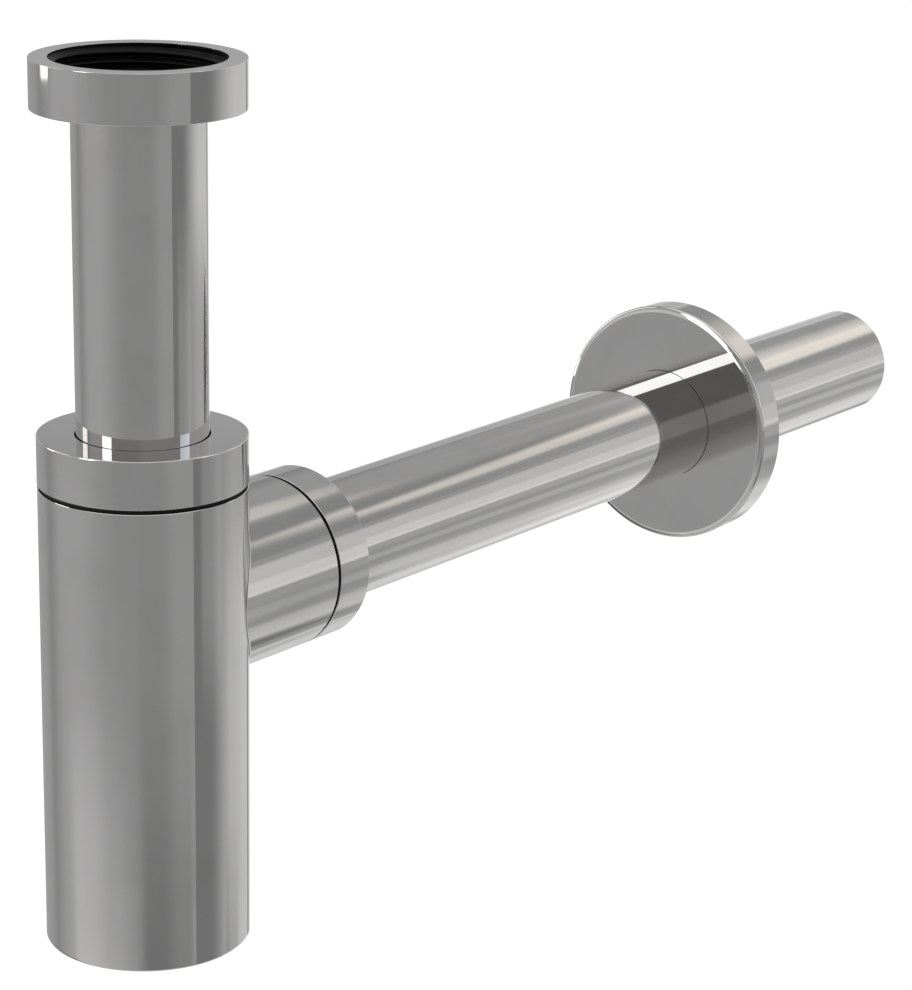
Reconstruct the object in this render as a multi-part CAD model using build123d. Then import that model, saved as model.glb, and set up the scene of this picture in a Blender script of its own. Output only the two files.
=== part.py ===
"""A chrome bottle trap for a washbasin, with a 32 mm dip tube and a long 32 mm wall pipe.

Millimetres, +Z up. The dip tube's axis is Z and the wall pipe's axis points along +X.
The origin is on the tube's axis, in the plane where the basin waste's tail meets the inlet gasket.

The trap comes apart like the real one. The inlet nut hangs the dip tube by its rolled flange on
the basin waste. The tube slides through the head nut into the bottle, which holds the water seal.
A turned seat ring is brazed into the bottle's mouth and another into the coped outlet branch.
Each seat takes a cone seal, a slip ring and a round nut that presses them onto a 32 mm tube.
The rosette is a hollow turned cover that slides on the wall pipe and is held by a grip ring.
"""

import os

from build123d import *

# Tube stock, the same for the dip tube and the wall pipe
tube_od = 32.0
tube_wall = 1.0

# Inlet nut, for the G 1 1/4 tail of a basin waste
inlet_nut_od = 51.0
inlet_nut_height = 11.9
inlet_thread_r = 20.95
inlet_thread_crest_r = 19.48
inlet_relief_r = 21.6
inlet_lip = 2.0
inlet_edge_round = 0.3
inlet_hole_clearance = 0.5

# Pieces stacked between the nut's lip and the basin waste, which pass the thread's crests
inlet_stack_clearance = 0.28
inlet_gasket_thickness = 2.0
inlet_gasket_bore_clearance = 0.3
flange_thickness = 1.2
flange_bend = 0.7
thrust_ring_thickness = 0.8
thrust_ring_clearance = 0.3

# Lengths along the dip tube
tube_exposed = 78.3
water_seal = 50.0
tube_end_break = 0.3

# Bottle
bottle_od = 50.8
bottle_wall = 1.5
bottle_height = 116.4
bottle_top_break = 0.1
bottle_bottom_round = 0.6
base_thickness = 3.0
base_edge_break = 0.4
braze_gap = 0.05

# Outlet branch, measured down from the bottle's mouth and out from its side
outlet_drop = 30.9
branch_od = 45.0
branch_wall = 1.5
branch_length = 21.05
branch_end_break = 0.1
branch_hole_clearance = 1.0

# Compression joint, the same at the head and at the outlet
thread_r = 19.5
thread_clearance = 0.1
thread_engagement = 7.0
spigot_wall = 1.8
seam = 1.0
seam_recess = 0.4
slip_ring_thickness = 1.0
slip_ring_clearance = 0.4
seal_rim = 1.0
seal_grip_clearance = 0.1
seal_small_end = 0.6
seal_rim_clearance = 0.5
seal_seat_lift = 0.2
seat_cone_length = 4.0
seat_guide_clearance = 0.5
tube_clearance = 0.3

# Head nut, a hair wider than the bottle, and its seat's guide
head_nut_overhang = 0.05
head_nut_height = 11.9
head_face = 3.5
head_edge_round = 0.5
head_guide_length = 1.0

# Outlet nut, as wide as the branch, and its seat's guide
outlet_nut_height = 11.2
outlet_face = 3.0
outlet_edge_round = 0.5
branch_seat_clearance = 3.05
nut_foot_break = 0.15
nut_hole_break = 0.1

# Wall pipe, from how far its inner end stands in the bottle's wall to its reach from the axis
pipe_entry = 0.4
wall_reach = 322.8
pipe_end_break = 0.3

# Wall rosette, whose flat face falls away in a shallow bevel before its rim
rosette_od = 70.0
rosette_reach = 221.9
rosette_depth = 9.0
rosette_face = 1.5
rosette_rim_wall = 1.5
rosette_bevel_width = 1.4
rosette_bevel_depth = 0.5
rosette_edge_round = 0.3
rosette_hole_clearance = 0.15
rosette_inner_round = 0.6
rosette_back_break = 0.2
hub_wall = 4.2
hub_length = 7.0
grip_section = 2.3
grip_clearance = 0.1
groove_set_back = 2.6
groove_play = 0.1

# Radii that follow from the stock and the walls
tube_r = tube_od / 2
tube_bore_r = tube_r - tube_wall
bottle_r = bottle_od / 2
bottle_bore_r = bottle_r - bottle_wall
branch_r = branch_od / 2
branch_bore_r = branch_r - branch_wall
branch_end_x = bottle_r + branch_length
rosette_r = rosette_od / 2
inlet_stack_r = inlet_thread_crest_r - inlet_stack_clearance

# Heights that follow from the stack above them
flange_top_z = -inlet_gasket_thickness
flange_bottom_z = flange_top_z - flange_thickness
lip_top_z = flange_bottom_z - thrust_ring_thickness
nut_bottom_z = lip_top_z - inlet_lip
nut_top_z = nut_bottom_z + inlet_nut_height
head_top_z = nut_bottom_z - tube_exposed
bottle_top_z = head_top_z - head_nut_height - seam
bottle_bottom_z = bottle_top_z - bottle_height
outlet_z = bottle_top_z - outlet_drop
tube_end_z = outlet_z - tube_bore_r - water_seal

# A joint is built along +Z from its seam, which is the end face of the tube that it closes
head_joint = Location((0, 0, bottle_top_z))
outlet_joint = Location((branch_end_x, 0, outlet_z), (0, 90, 0))

# Depths inside a joint, below its seam
slip_ring_top = -thread_engagement
slip_ring_bottom = slip_ring_top - slip_ring_thickness
seat_cone_top = slip_ring_bottom - seal_rim
seat_cone_bottom = seat_cone_top - seat_cone_length
seat_guide_r = tube_r + seat_guide_clearance
outlet_guide_length = branch_length - branch_seat_clearance + seat_cone_bottom


def turned(points):
    """A solid turned about Z from the corners of its half section, each a radius and a height."""
    outline = make_face(Polyline(*[(radius, 0, height) for radius, height in points], close=True))
    return revolve(outline, axis=Axis.Z)


def ring(outer_r, inner_r, low, high):
    """A plain ring about Z, made like a turned one."""
    return turned([(inner_r, low), (outer_r, low), (outer_r, high), (inner_r, high)])


def circles_at(solid, radius, height):
    """The round edges of a turned solid at one radius and height."""
    found = solid.edges().filter_by(GeomType.CIRCLE)
    return [
        edge
        for edge in found
        if abs(edge.radius - radius) < 1e-4 and abs(edge.arc_center.Z - height) < 1e-4
    ]


def make_inlet_nut():
    """The round nut: a thread bore, a relief behind it, and a lip that carries the tube's flange."""
    outer_r = inlet_nut_od / 2
    hole_r = tube_r + inlet_hole_clearance
    nut = turned(
        [
            (hole_r, nut_bottom_z),
            (outer_r, nut_bottom_z),
            (outer_r, nut_top_z),
            (inlet_thread_r, nut_top_z),
            (inlet_thread_r, 0),
            (inlet_relief_r, 0),
            (inlet_relief_r, lip_top_z),
            (hole_r, lip_top_z),
        ]
    )
    nut = fillet(circles_at(nut, outer_r, nut_top_z), inlet_edge_round)
    return chamfer(circles_at(nut, outer_r, nut_bottom_z), nut_foot_break)


def make_inlet_gasket():
    """The flat gasket that lies on the tube's flange."""
    return ring(inlet_stack_r, tube_bore_r + inlet_gasket_bore_clearance, flange_top_z, 0)


def make_inlet_thrust_ring():
    """The thin ring between the flange and the nut's lip, so the nut turns without the tube."""
    inner_r = tube_r + flange_bend + thrust_ring_clearance
    return ring(inlet_stack_r, inner_r, lip_top_z, flange_bottom_z)


def make_dip_tube():
    """The inlet tube with its rolled flange, open at the bottom, deep in the bottle's water."""
    tube = turned(
        [
            (tube_bore_r, tube_end_z),
            (tube_r, tube_end_z),
            (tube_r, flange_bottom_z),
            (inlet_stack_r, flange_bottom_z),
            (inlet_stack_r, flange_top_z),
            (tube_bore_r, flange_top_z),
        ]
    )
    tube = fillet(circles_at(tube, tube_r, flange_bottom_z), flange_bend)
    tube = fillet(circles_at(tube, tube_bore_r, flange_top_z), flange_bend)
    return chamfer(circles_at(tube, tube_r, tube_end_z), tube_end_break)


def make_joint_nut(outer_r, height, face, edge_round):
    """A round nut: a face with the tube's hole, and a threaded spigot that enters the seat ring."""
    spigot_r = thread_r - thread_clearance
    spigot_bore_r = spigot_r - spigot_wall
    hole_r = tube_r + tube_clearance
    top = seam + height
    nut = turned(
        [
            (spigot_bore_r, slip_ring_top),
            (spigot_r, slip_ring_top),
            (spigot_r, seam),
            (outer_r, seam),
            (outer_r, top),
            (hole_r, top),
            (hole_r, top - face),
            (spigot_bore_r, top - face),
        ]
    )
    nut = fillet(circles_at(nut, outer_r, top), edge_round)
    nut = chamfer(circles_at(nut, hole_r, top), nut_hole_break)
    return chamfer(circles_at(nut, outer_r, seam), nut_foot_break)


def make_joint_gasket(body_r):
    """The black gasket that shows as a line between a nut and the tube it closes."""
    return ring(body_r - seam_recess, thread_r + thread_clearance, 0, seam)


def make_slip_ring():
    """The hard ring under the spigot, which keeps the turning nut off the rubber."""
    outer_r = thread_r - slip_ring_clearance
    return ring(outer_r, tube_r + tube_clearance, slip_ring_bottom, slip_ring_top)


def seat_height(radius):
    """The height on the seat's cone where it has this radius."""
    share = (radius - seat_guide_r) / (thread_r - seat_guide_r)
    return seat_cone_bottom + share * seat_cone_length


def make_cone_seal():
    """The rubber cone seal, lifted a little off its seat so that it can turn there."""
    bore_r = tube_r + seal_grip_clearance
    rim_r = thread_r - seal_rim_clearance
    small_r = bore_r + seal_small_end
    return turned(
        [
            (bore_r, slip_ring_bottom),
            (rim_r, slip_ring_bottom),
            (rim_r, seat_height(rim_r) + seal_seat_lift),
            (small_r, seat_height(small_r) + seal_seat_lift),
            (bore_r, seat_height(small_r) + seal_seat_lift),
        ]
    )


def make_seat_ring(socket_r, guide_length):
    """The turned ring brazed into a tube's end: thread bore, cone seat and a guide for the tube."""
    outer_r = socket_r - braze_gap
    bottom = seat_cone_bottom - guide_length
    return turned(
        [
            (seat_guide_r, bottom),
            (outer_r, bottom),
            (outer_r, 0),
            (thread_r, 0),
            (thread_r, seat_cone_top),
            (seat_guide_r, seat_cone_bottom),
        ]
    )


def along_outlet(radius, start, end):
    """A solid cylinder on the outlet's axis, between two distances from the bottle's axis."""
    place = Location((start, 0, outlet_z), (0, 90, 0))
    return place * Cylinder(radius, end - start, align=(Align.CENTER, Align.CENTER, Align.MIN))


def make_bottle_shell():
    """The drawn tube of the bottle, pierced for the outlet inside the branch."""
    shell = ring(bottle_r, bottle_bore_r, bottle_bottom_z, bottle_top_z)
    shell = fillet(circles_at(shell, bottle_r, bottle_bottom_z), bottle_bottom_round)
    shell = chamfer(circles_at(shell, bottle_r, bottle_top_z), bottle_top_break)
    return shell - along_outlet(tube_r + branch_hole_clearance, 0, bottle_od)


def make_bottle_base():
    """The disc brazed flush into the bottle's lower end."""
    disc = Cylinder(
        bottle_bore_r - braze_gap, base_thickness, align=(Align.CENTER, Align.CENTER, Align.MIN)
    )
    disc = Location((0, 0, bottle_bottom_z)) * disc
    return chamfer(circles_at(disc, bottle_bore_r - braze_gap, bottle_bottom_z), base_edge_break)


def make_outlet_branch():
    """The branch tube, coped so that its saddle end follows the round of the bottle."""
    tube = along_outlet(branch_r, 0, branch_end_x) - along_outlet(branch_bore_r, 0, branch_end_x)
    bottle = Location((0, 0, outlet_z)) * Cylinder(bottle_r + braze_gap, branch_od * 2)
    tube = chamfer(tube.edges().filter_by(GeomType.CIRCLE).sort_by(Axis.X)[-2:], branch_end_break)
    return tube - bottle


def make_outlet_pipe():
    """The plain wall pipe, square cut, with its edges broken."""
    inner_end = bottle_r - pipe_entry
    pipe = along_outlet(tube_r, inner_end, wall_reach) - along_outlet(tube_bore_r, 0, wall_reach)
    ends = [edge for edge in pipe.edges().filter_by(GeomType.CIRCLE) if edge.radius > tube_bore_r]
    return chamfer(ends, pipe_end_break)


def make_wall_rosette():
    """The hollow rosette, turned about +X: a bevelled face, a rim, and a hub with the grip groove."""
    hole_r = tube_r + rosette_hole_clearance
    hub_r = hole_r + hub_wall
    rim_bore_r = rosette_r - rosette_rim_wall
    groove_r = tube_r + grip_clearance + grip_section + groove_play
    groove_end = groove_set_back + grip_section + groove_play
    cover = turned(
        [
            (hole_r, 0),
            (rosette_r - rosette_bevel_width, 0),
            (rosette_r, rosette_bevel_depth),
            (rosette_r, rosette_depth),
            (rim_bore_r, rosette_depth),
            (rim_bore_r, rosette_face),
            (hub_r, rosette_face),
            (hub_r, hub_length),
            (hole_r, hub_length),
            (hole_r, groove_end),
            (groove_r, groove_end),
            (groove_r, groove_set_back),
            (hole_r, groove_set_back),
        ]
    )
    cover = fillet(circles_at(cover, rosette_r, rosette_bevel_depth), rosette_edge_round)
    cover = fillet(circles_at(cover, rim_bore_r, rosette_face), rosette_inner_round)
    cover = fillet(circles_at(cover, hub_r, rosette_face), rosette_inner_round)
    cover = chamfer(circles_at(cover, rosette_r, rosette_depth), rosette_back_break)
    return Location((rosette_reach, 0, outlet_z), (0, 90, 0)) * cover


def make_rosette_grip_ring():
    """The round rubber ring in the hub's groove, which keeps the rosette where it is pushed."""
    section_r = grip_section / 2
    middle_r = tube_r + grip_clearance + section_r
    middle_x = rosette_reach + groove_set_back + (grip_section + groove_play) / 2
    return Location((middle_x, 0, outlet_z), (0, 90, 0)) * Torus(middle_r, section_r)


def make_all():
    """Every separate piece by name, in its place."""
    head_nut_r = bottle_r + head_nut_overhang
    head_nut = make_joint_nut(head_nut_r, head_nut_height, head_face, head_edge_round)
    outlet_nut = make_joint_nut(branch_r, outlet_nut_height, outlet_face, outlet_edge_round)
    return {
        "inlet_nut": make_inlet_nut(),
        "inlet_gasket": make_inlet_gasket(),
        "inlet_thrust_ring": make_inlet_thrust_ring(),
        "dip_tube": make_dip_tube(),
        "head_nut": head_joint * head_nut,
        "head_gasket": head_joint * make_joint_gasket(bottle_r),
        "head_slip_ring": head_joint * make_slip_ring(),
        "head_cone_seal": head_joint * make_cone_seal(),
        "neck_seat": head_joint * make_seat_ring(bottle_bore_r, head_guide_length),
        "bottle_shell": make_bottle_shell(),
        "bottle_base": make_bottle_base(),
        "outlet_branch": make_outlet_branch(),
        "branch_seat": outlet_joint * make_seat_ring(branch_bore_r, outlet_guide_length),
        "outlet_gasket": outlet_joint * make_joint_gasket(branch_r),
        "outlet_slip_ring": outlet_joint * make_slip_ring(),
        "outlet_cone_seal": outlet_joint * make_cone_seal(),
        "outlet_nut": outlet_joint * outlet_nut,
        "outlet_pipe": make_outlet_pipe(),
        "wall_rosette": make_wall_rosette(),
        "rosette_grip_ring": make_rosette_grip_ring(),
    }


os.makedirs("parts", exist_ok=True)
for name, solid in make_all().items():
    export_step(solid, f"parts/{name}.step")
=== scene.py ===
"""A chrome bottle trap for a washbasin, dressed for a product photograph.

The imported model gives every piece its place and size. This script turns the round pieces again
with their fine edges and threads, gives each its finish, and sets a grey studio round them.
Blender's lengths are metres, +Z up. A half section is in millimetres, from its piece's own axis:
the dip tube's axis is Z and the wall pipe's axis points along +X.
"""

import logging
import math
from collections.abc import Sequence
from dataclasses import dataclass
from enum import Enum
from functools import cache

import bpy
from mathutils import Matrix, Vector


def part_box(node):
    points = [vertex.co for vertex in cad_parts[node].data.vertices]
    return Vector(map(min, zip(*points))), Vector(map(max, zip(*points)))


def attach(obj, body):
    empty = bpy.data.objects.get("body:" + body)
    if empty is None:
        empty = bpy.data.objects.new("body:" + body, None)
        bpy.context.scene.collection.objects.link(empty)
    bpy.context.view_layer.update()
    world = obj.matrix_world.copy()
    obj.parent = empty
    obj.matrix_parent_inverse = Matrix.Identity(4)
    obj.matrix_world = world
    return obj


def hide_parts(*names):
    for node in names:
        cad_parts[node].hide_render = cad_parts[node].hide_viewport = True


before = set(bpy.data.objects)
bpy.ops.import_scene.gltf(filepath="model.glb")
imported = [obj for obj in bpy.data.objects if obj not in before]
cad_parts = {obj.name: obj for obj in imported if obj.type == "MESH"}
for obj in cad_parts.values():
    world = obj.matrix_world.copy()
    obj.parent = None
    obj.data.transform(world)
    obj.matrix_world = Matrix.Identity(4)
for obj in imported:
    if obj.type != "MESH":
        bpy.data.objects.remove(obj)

MM = 0.001
FULL_TURN = 2 * math.pi
EDGE = "edge"
GROOVE = "groove"
log = logging.getLogger("trap")


class TurnAxis(Enum):
    """Which way the axis of a turned piece points."""

    UP = "up"
    OUT = "out"


class Slot(Enum):
    """The record's material slots."""

    CHROME = "chrome_plate"
    BRASS = "turned_brass"
    RUBBER = "black_rubber"
    POLYMER = "white_polymer"


class Marks(Enum):
    """How a surface was worked: round the axis in a lathe, or along it through a die."""

    TURNED = "turned"
    DRAWN = "drawn"


def axis_height() -> float:
    """The height of the wall pipe's axis, in metres."""
    low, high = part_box("outlet_pipe")
    return (low.z + high.z) / 2


def node_span(node: str, axis: TurnAxis) -> tuple[float, float]:
    """Where a CAD node starts and ends along its axis.

    Args:
        node: The node's name.
        axis: The way its axis points.

    Returns:
        Its lowest and highest place on the axis, in millimetres.
    """
    low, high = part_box(node)
    if axis is TurnAxis.UP:
        return low.z / MM, high.z / MM
    return low.x / MM, high.x / MM


def node_radius(node: str) -> float:
    """The outer radius of a round CAD node, in millimetres."""
    low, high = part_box(node)
    return (high.y - low.y) / 2 / MM


class Nodes:
    """Adds and joins the nodes of one tree."""

    def __init__(self, tree: bpy.types.NodeTree) -> None:
        """Keep the tree that the nodes go into."""
        self.tree = tree

    def add(self, kind: str, **settings: object) -> bpy.types.Node:
        """Add a node.

        Args:
            kind: The node's type name.
            **settings: Properties to set on it.

        Returns:
            The new node.
        """
        node = self.tree.nodes.new(kind)
        for name, value in settings.items():
            setattr(node, name, value)
        return node

    def feed(self, socket: bpy.types.NodeSocket, value: object) -> None:
        """Join an input to an output socket, or set it to a plain value.

        Args:
            socket: The input to feed.
            value: An output socket, or a plain value.
        """
        if isinstance(value, bpy.types.NodeSocket):
            self.tree.links.new(value, socket)
        else:
            socket.default_value = value

    def math(self, operation: str, *values: object) -> bpy.types.NodeSocket:
        """Add a Math node.

        Args:
            operation: What it works out.
            *values: Its inputs, sockets or numbers.

        Returns:
            Its output socket.
        """
        node = self.add("ShaderNodeMath", operation=operation)
        for socket, value in zip(node.inputs, values):
            self.feed(socket, value)
        return node.outputs[0]

    def vector_math(self, operation: str, *values: object) -> bpy.types.Node:
        """Add a Vector Math node.

        Args:
            operation: What it works out.
            *values: Its inputs, sockets or vectors.

        Returns:
            The node, whose output depends on the operation.
        """
        node = self.add("ShaderNodeVectorMath", operation=operation)
        for socket, value in zip(node.inputs, values):
            self.feed(socket, value)
        return node

    def step(self, value: object, low: object, high: object) -> bpy.types.NodeSocket:
        """A smooth step from 0 to 1.

        Args:
            value: What is measured.
            low: Where the result is 0.
            high: Where it is 1.

        Returns:
            The step's output socket.
        """
        node = self.add("ShaderNodeMapRange", interpolation_type="SMOOTHSTEP")
        self.feed(node.inputs["Value"], value)
        self.feed(node.inputs["From Min"], low)
        self.feed(node.inputs["From Max"], high)
        return node.outputs["Result"]

    def spread(self, value: object, low: float, high: float) -> bpy.types.NodeSocket:
        """A value from 0 to 1 spread evenly between two others.

        Args:
            value: What is spread.
            low: The result at 0.
            high: The result at 1.

        Returns:
            The output socket.
        """
        node = self.add("ShaderNodeMapRange")
        self.feed(node.inputs["Value"], value)
        node.inputs["To Min"].default_value = low
        node.inputs["To Max"].default_value = high
        return node.outputs["Result"]

    def window(self, value: object, limits: tuple, soft: tuple) -> bpy.types.NodeSocket:
        """1 between two limits, going down to 0 outside them in smooth steps.

        Args:
            value: What is measured.
            limits: The lower and the upper limit.
            soft: The width of the step before the lower one and of the step after the upper one.

        Returns:
            The window's output socket.
        """
        (low, high), (before, after) = limits, soft
        rise = self.step(value, self.math("SUBTRACT", low, before), low)
        fall = self.step(value, self.math("ADD", high, after), high)
        return self.math("MULTIPLY", rise, fall)

    def split(self, vector: bpy.types.NodeSocket) -> list[bpy.types.NodeSocket]:
        """A vector's X, Y and Z."""
        node = self.add("ShaderNodeSeparateXYZ")
        self.feed(node.inputs[0], vector)
        return list(node.outputs)

    def vector(self, *parts: object) -> bpy.types.NodeSocket:
        """A vector from its X, Y and Z."""
        node = self.add("ShaderNodeCombineXYZ")
        for socket, value in zip(node.inputs, parts):
            self.feed(socket, value)
        return node.outputs[0]

    def noise(self, place: object, scale: object, detail: float,
              distortion: float = 0.0) -> bpy.types.NodeSocket:
        """Soft noise from 0 to 1.

        Args:
            place: Where it is read.
            scale: How many of its clouds there are to a unit of place.
            detail: How many finer layers it has.
            distortion: How much it is warped.

        Returns:
            The noise's output socket.
        """
        node = self.add("ShaderNodeTexNoise")
        values = {"Vector": place, "Scale": scale, "Detail": detail, "Distortion": distortion}
        for name, value in values.items():
            self.feed(node.inputs[name], value)
        return node.outputs["Fac"]

    def blend(self, share: object, first: object, second: object,
              kind: str = "RGBA") -> bpy.types.NodeSocket:
        """Mix two colours or two vectors.

        Args:
            share: How much of the second one shows.
            first: The result at 0.
            second: The result at 1.
            kind: What is mixed, RGBA or VECTOR.

        Returns:
            The output socket.
        """
        node = self.add("ShaderNodeMix", data_type=kind)
        self.feed(node.inputs["Factor"], share)
        self.feed(node.inputs["A"], first)
        self.feed(node.inputs["B"], second)
        return node.outputs["Result"]

    def group(self, tree: bpy.types.NodeTree, values: dict[str, object]) -> bpy.types.Node:
        """Place a node group.

        Args:
            tree: The group's own tree.
            values: Its inputs by name.

        Returns:
            The group node.
        """
        node = self.add("ShaderNodeGroup", node_tree=tree)
        for name, value in values.items():
            self.feed(node.inputs[name], value)
        return node


class Effects:
    """The node groups that more than one material, or more than one panel, is made with."""

    @staticmethod
    def start(name: str, inputs: dict[str, str], outputs: Sequence[str]) -> Nodes:
        """Start a node group.

        Args:
            name: The group's name.
            inputs: The kind of each input, Float or Vector, by name.
            outputs: The names of its outputs, which are numbers.

        Returns:
            The helper for its tree, which holds its input and output nodes.
        """
        tree = bpy.data.node_groups.new(name, "ShaderNodeTree")
        for label, kind in inputs.items():
            tree.interface.new_socket(label, in_out="INPUT", socket_type=f"NodeSocket{kind}")
        for label in outputs:
            tree.interface.new_socket(label, in_out="OUTPUT", socket_type="NodeSocketFloat")
        tree.nodes.new("NodeGroupInput")
        tree.nodes.new("NodeGroupOutput")
        return Nodes(tree)

    @staticmethod
    def give(nodes: Nodes, name: str, value: bpy.types.NodeSocket) -> None:
        """Put a value out of a group."""
        nodes.feed(nodes.tree.nodes["Group Output"].inputs[name], value)

    @staticmethod
    @cache
    def worked_marks() -> bpy.types.NodeTree:
        """Fine marks of a tool or a polishing belt, round the axis or along it.

        Place is in millimetres with the axis along Z. Across says how many marks there are to a
        millimetre, and Along how fast one changes on its way.

        Returns:
            The group, with the marks' Height from 0 to 1.
        """
        inputs = {"Place": "Vector", "Across": "Float", "Along": "Float", "Drawn": "Float"}
        nodes = Effects.start("worked_marks", inputs, ["Height"])
        given = nodes.tree.nodes["Group Input"].outputs
        x, y, height = nodes.split(given["Place"])
        radius = nodes.vector_math("LENGTH", nodes.vector(x, y, 0.0)).outputs["Value"]
        round_place = nodes.vector(radius, height, nodes.math("ADD", x, y))
        stretch = nodes.vector(given["Across"], given["Across"], given["Along"])
        ring = nodes.vector_math("MULTIPLY", round_place, stretch).outputs[0]
        line = nodes.vector_math("MULTIPLY", given["Place"], stretch).outputs[0]
        way = nodes.blend(given["Drawn"], ring, line, "VECTOR")
        Effects.give(nodes, "Height", nodes.noise(way, scale=1.0, detail=1.0))
        return nodes.tree

    @staticmethod
    @cache
    def handling_film() -> bpy.types.NodeTree:
        """The faint film that wiping and water leave, in clouds with dried drops in them.

        Returns:
            The group, with Clouds and Drops from 0 to 1.
        """
        cloud_low, cloud_high = 0.40, 0.70
        drops_low, drops_high = 0.55, 0.68
        rim_start, rim_middle, rim_end = 0.20, 0.26, 0.32
        inputs = {"Place": "Vector", "Cloud size": "Float", "Drop size": "Float"}
        nodes = Effects.start("handling_film", inputs, ["Clouds", "Drops"])
        given = nodes.tree.nodes["Group Input"].outputs
        per_mm = nodes.math("DIVIDE", 1.0, given["Cloud size"])
        cloud = nodes.noise(given["Place"], per_mm, detail=4.0, distortion=0.6)
        drop = nodes.add("ShaderNodeTexVoronoi", feature="F1")
        nodes.feed(drop.inputs["Vector"], given["Place"])
        nodes.feed(drop.inputs["Scale"], nodes.math("DIVIDE", 1.0, given["Drop size"]))
        inner = nodes.step(drop.outputs["Distance"], rim_start, rim_middle)
        outer = nodes.step(drop.outputs["Distance"], rim_end, rim_middle)
        rim = nodes.math("MULTIPLY", inner, outer)
        Effects.give(nodes, "Clouds", nodes.step(cloud, cloud_low, cloud_high))
        Effects.give(nodes, "Drops", nodes.math("MULTIPLY", rim, nodes.step(cloud, drops_low, drops_high)))
        return nodes.tree

    @staticmethod
    @cache
    def edges_and_grooves() -> bpy.types.NodeTree:
        """Where a turned piece has its edges and its thread's roots, broken up by a little noise.

        Returns:
            The group, with Edge and Groove from 0 to 1.
        """
        weakest, strongest = 0.5, 1.3
        nodes = Effects.start("edges_and_grooves", {"Place": "Vector"}, ["Edge", "Groove"])
        given = nodes.tree.nodes["Group Input"].outputs
        broken = nodes.noise(given["Place"], scale=0.9, detail=3.0)
        share = nodes.spread(broken, weakest, strongest)
        for name, attribute in (("Edge", EDGE), ("Groove", GROOVE)):
            read = nodes.add("ShaderNodeAttribute", attribute_name=attribute)
            Effects.give(nodes, name, nodes.math("MULTIPLY", read.outputs["Fac"], share))
        return nodes.tree

    @staticmethod
    @cache
    def studio_panel() -> bpy.types.NodeTree:
        """A soft-sided window of the studio, by azimuth and elevation in degrees.

        Returns:
            The group, with its Mask from 0 to 1.
        """
        names = ("Azimuth", "Elevation", "Middle", "Half width", "Before", "After", "Low", "High", "Edge")
        nodes = Effects.start("studio_panel", dict.fromkeys(names, "Float"), ["Mask"])
        given = nodes.tree.nodes["Group Input"].outputs
        off = nodes.math("SUBTRACT", given["Azimuth"], given["Middle"])
        off = nodes.math("WRAP", off, 180.0, -180.0)
        first = nodes.math("MULTIPLY", given["Half width"], -1.0)
        sides = nodes.window(off, (first, given["Half width"]), (given["Before"], given["After"]))
        heights = (given["Low"], given["High"])
        edges = nodes.window(given["Elevation"], heights, (given["Edge"], given["Edge"]))
        Effects.give(nodes, "Mask", nodes.math("MULTIPLY", sides, edges))
        return nodes.tree


class Finish:
    """What every finish shares: its place in millimetres, its film, its bump and its materials."""

    @cache
    def material(self, axis: TurnAxis) -> bpy.types.Material:
        """The finish for pieces on one axis, made once.

        Args:
            axis: The way the pieces' axis points.

        Returns:
            The material.
        """
        made = bpy.data.materials.new(f"{self.name}_{axis.value}")
        made.use_nodes = True
        nodes = Nodes(made.node_tree)
        self.dress(nodes, made.node_tree.nodes["Principled BSDF"], self.place(nodes, axis))
        return made

    @staticmethod
    def place(nodes: Nodes, axis: TurnAxis) -> bpy.types.NodeSocket:
        """A point's place in millimetres, from the piece's own axis, which is laid along Z.

        Args:
            nodes: The material's nodes.
            axis: The way the piece's axis points.

        Returns:
            The place's socket.
        """
        here = nodes.add("ShaderNodeTexCoord").outputs["Object"]
        if axis is TurnAxis.OUT:
            moved = nodes.vector_math("SUBTRACT", here, (0, 0, axis_height())).outputs[0]
            x, y, z = nodes.split(moved)
            here = nodes.vector(y, z, x)
        scaled = nodes.vector_math("SCALE", here)
        scaled.inputs["Scale"].default_value = 1 / MM
        return scaled.outputs[0]

    def film_and_rims(self, nodes: Nodes,
                      place: bpy.types.NodeSocket) -> tuple[bpy.types.Node, bpy.types.Node]:
        """The handling film in this finish's sizes, and the edges and grooves.

        Args:
            nodes: The material's nodes.
            place: The point's place in millimetres.

        Returns:
            The two group nodes.
        """
        values = {"Place": place, "Cloud size": self.cloud_size, "Drop size": self.drop_size}
        film = nodes.group(Effects.handling_film(), values)
        return film, nodes.group(Effects.edges_and_grooves(), {"Place": place})

    @staticmethod
    def raise_marks(nodes: Nodes, shader: bpy.types.Node, height: bpy.types.NodeSocket,
                    depth: float) -> None:
        """Let the light show marks that are too fine for the mesh.

        Args:
            nodes: The material's nodes.
            shader: Its Principled BSDF.
            height: The marks' height from 0 to 1.
            depth: Their depth in metres.
        """
        bump = nodes.add("ShaderNodeBump")
        bump.inputs["Distance"].default_value = depth
        nodes.feed(bump.inputs["Height"], height)
        nodes.feed(shader.inputs["Normal"], bump.outputs["Normal"])

    def dress(self, nodes: Nodes, shader: bpy.types.Node, place: bpy.types.NodeSocket) -> None:
        """Join the finish's nodes to the shader. Each finish has its own."""
        raise NotImplementedError


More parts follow.
